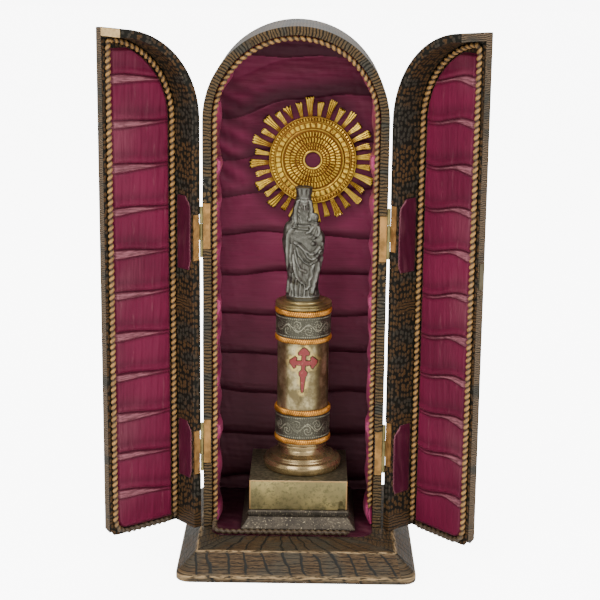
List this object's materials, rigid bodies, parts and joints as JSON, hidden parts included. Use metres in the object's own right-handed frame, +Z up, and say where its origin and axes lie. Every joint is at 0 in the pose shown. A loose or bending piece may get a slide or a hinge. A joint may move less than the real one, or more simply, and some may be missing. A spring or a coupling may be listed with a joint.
{
  "type": "travel shrine",
  "caption": "Arched leather-covered shrine case with two hinged doors, ruched silk lining, a column bearing a crowned figure and a gilt sunburst.",
  "frame": {"origin": "centre of the flat underside of the base", "axes": "+Z up, -Y out of the front opening, +X to the right seen from the front"},
  "size_m": [0.216, 0.138, 0.3109],
  "materials": {
    "leather": "dark scaled leather, worn brown on the ridges",
    "silk": "ruched crimson silk, faded on the folds",
    "cord": "twisted gold thread",
    "hinge_brass": "dull aged brass",
    "plate_brass": "aged brass",
    "bronze": "polished dark bronze",
    "pewter": "dull grey cast metal",
    "rope_brass": "copper-gold twisted wire",
    "gilt": "pressed gilt sheet",
    "enamel": "worn red enamel"
  },
  "bodies": {
    "case": {"base": "leather", "case_back_lining": "silk", "case_cord": "cord", "case_floor_lining": "silk", "case_shell": "leather", "case_wall_lining": "silk", "column_cap": "plate_brass", "column_foot": "bronze", "column_shaft": "plate_brass", "figure": "pewter", "left_lower_hinge_case_leaf": "hinge_brass", "left_lower_hinge_pin": "plate_brass", "left_upper_hinge_case_leaf": "hinge_brass", "left_upper_hinge_pin": "plate_brass", "lower_grey_band": "pewter", "plinth_block": "plate_brass", "plinth_foot": "pewter", "right_lower_hinge_case_leaf": "hinge_brass", "right_lower_hinge_pin": "plate_brass", "right_upper_hinge_case_leaf": "hinge_brass", "right_upper_hinge_pin": "plate_brass", "rope_ring_1": "rope_brass", "rope_ring_2": "rope_brass", "rope_ring_3": "rope_brass", "rope_ring_4": "rope_brass", "shaft_cross": "enamel", "sunburst": "gilt", "upper_grey_band": "pewter"},
    "left_door": {"left_door_cord": "cord", "left_door_lining": "silk", "left_door_shell": "leather", "left_lower_hinge_door_leaf": "hinge_brass", "left_lower_patch": "silk", "left_upper_hinge_door_leaf": "hinge_brass", "left_upper_patch": "silk"},
    "right_door": {"catch_plate": "plate_brass", "catch_stud": "plate_brass", "right_door_cord": "cord", "right_door_lining": "silk", "right_door_shell": "leather", "right_lower_hinge_door_leaf": "hinge_brass", "right_lower_patch": "silk", "right_upper_hinge_door_leaf": "hinge_brass", "right_upper_patch": "silk"}
  },
  "joints": [
    {"name": "left_door_hinge", "type": "hinge", "parent": "case", "child": "left_door", "pos_m": [-0.0565, -0.021, 0], "axis": [0, 0, -1], "range_deg": [-140, 40]},
    {"name": "right_door_hinge", "type": "hinge", "parent": "case", "child": "right_door", "pos_m": [0.0507, -0.021, 0], "axis": [0, 0, 1], "range_deg": [-130, 50]}
  ]
}
